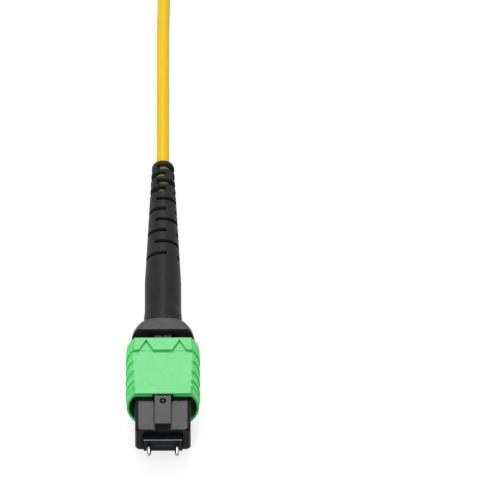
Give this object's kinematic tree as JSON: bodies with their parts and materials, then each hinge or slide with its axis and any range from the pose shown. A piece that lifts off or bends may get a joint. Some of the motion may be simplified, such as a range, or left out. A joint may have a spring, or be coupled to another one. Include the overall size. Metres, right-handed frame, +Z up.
{
  "type": "mpo fibre connector",
  "caption": "Multi-fibre push-on plug with keyed housing, sprung pull-back sleeve, floating ferrule with guide pins, slotted strain-relief boot and a round cable.",
  "frame": {"origin": "centre of the inner housing's front face, on the plug's axis", "axes": "+Y along the plug's axis towards the cable, +Z up through the key, +X to the right for someone who looks along +Y at the nose"},
  "size_m": [0.0203, 0.1658, 0.009],
  "materials": {
    "housing_plastic": "moulded, fine satin",
    "sleeve_plastic": "moulded, satin",
    "spring_steel": "drawn wire",
    "ferrule_resin": "filled resin, ground face",
    "guide_rubber": "moulded",
    "pin_steel": "ground and polished stainless steel",
    "clamp_steel": "stamped",
    "fibre_glass": "cleaved and polished",
    "adhesive": "cured epoxy",
    "fibre_coating": "acrylate coating",
    "crimp_metal": "nickel-plated",
    "yarn": "aramid strands",
    "boot_rubber": "moulded, fine matt texture",
    "tie_band": "woven hook-and-loop band",
    "jacket_plastic": "extruded, satin"
  },
  "bodies": {
    "plug": {"inner_housing": "housing_plastic", "sleeve_spring_left": "spring_steel", "sleeve_spring_right": "spring_steel", "ferrule_spring": "spring_steel", "back_housing": "housing_plastic", "crimp_sleeve": "crimp_metal", "aramid_yarn": "yarn", "strain_relief_boot": "boot_rubber", "cable_jacket": "jacket_plastic", "cable_yarn": "yarn", "fibre_bundle": "fibre_coating", "cord_tube": "jacket_plastic", "cord_hank": "jacket_plastic", "cord_tie": "tie_band"},
    "sleeve": {"outer_sleeve": "sleeve_plastic"},
    "ferrule": {"mt_ferrule": "ferrule_resin", "ferrule_boot": "guide_rubber", "guide_pin_left": "pin_steel", "guide_pin_right": "pin_steel", "pin_clamp": "clamp_steel", "bare_fibres": "fibre_glass", "window_adhesive": "adhesive", "fibre_ribbon": "fibre_coating"}
  },
  "joints": [
    {"name": "sleeve_slide", "type": "slide", "parent": "plug", "child": "sleeve", "axis": [0, 1, 0], "range_m": [0, 0.002], "stiffness_N_per_m": 1500, "springref_m": -0.002, "deforming": ["sleeve_spring_left", "sleeve_spring_right"]},
    {"name": "ferrule_float", "type": "slide", "parent": "plug", "child": "ferrule", "axis": [0, 1, 0], "range_m": [0, 0.0008], "stiffness_N_per_m": 6000, "springref_m": -0.0012, "deforming": ["ferrule_spring", "fibre_ribbon"]}
  ]
}
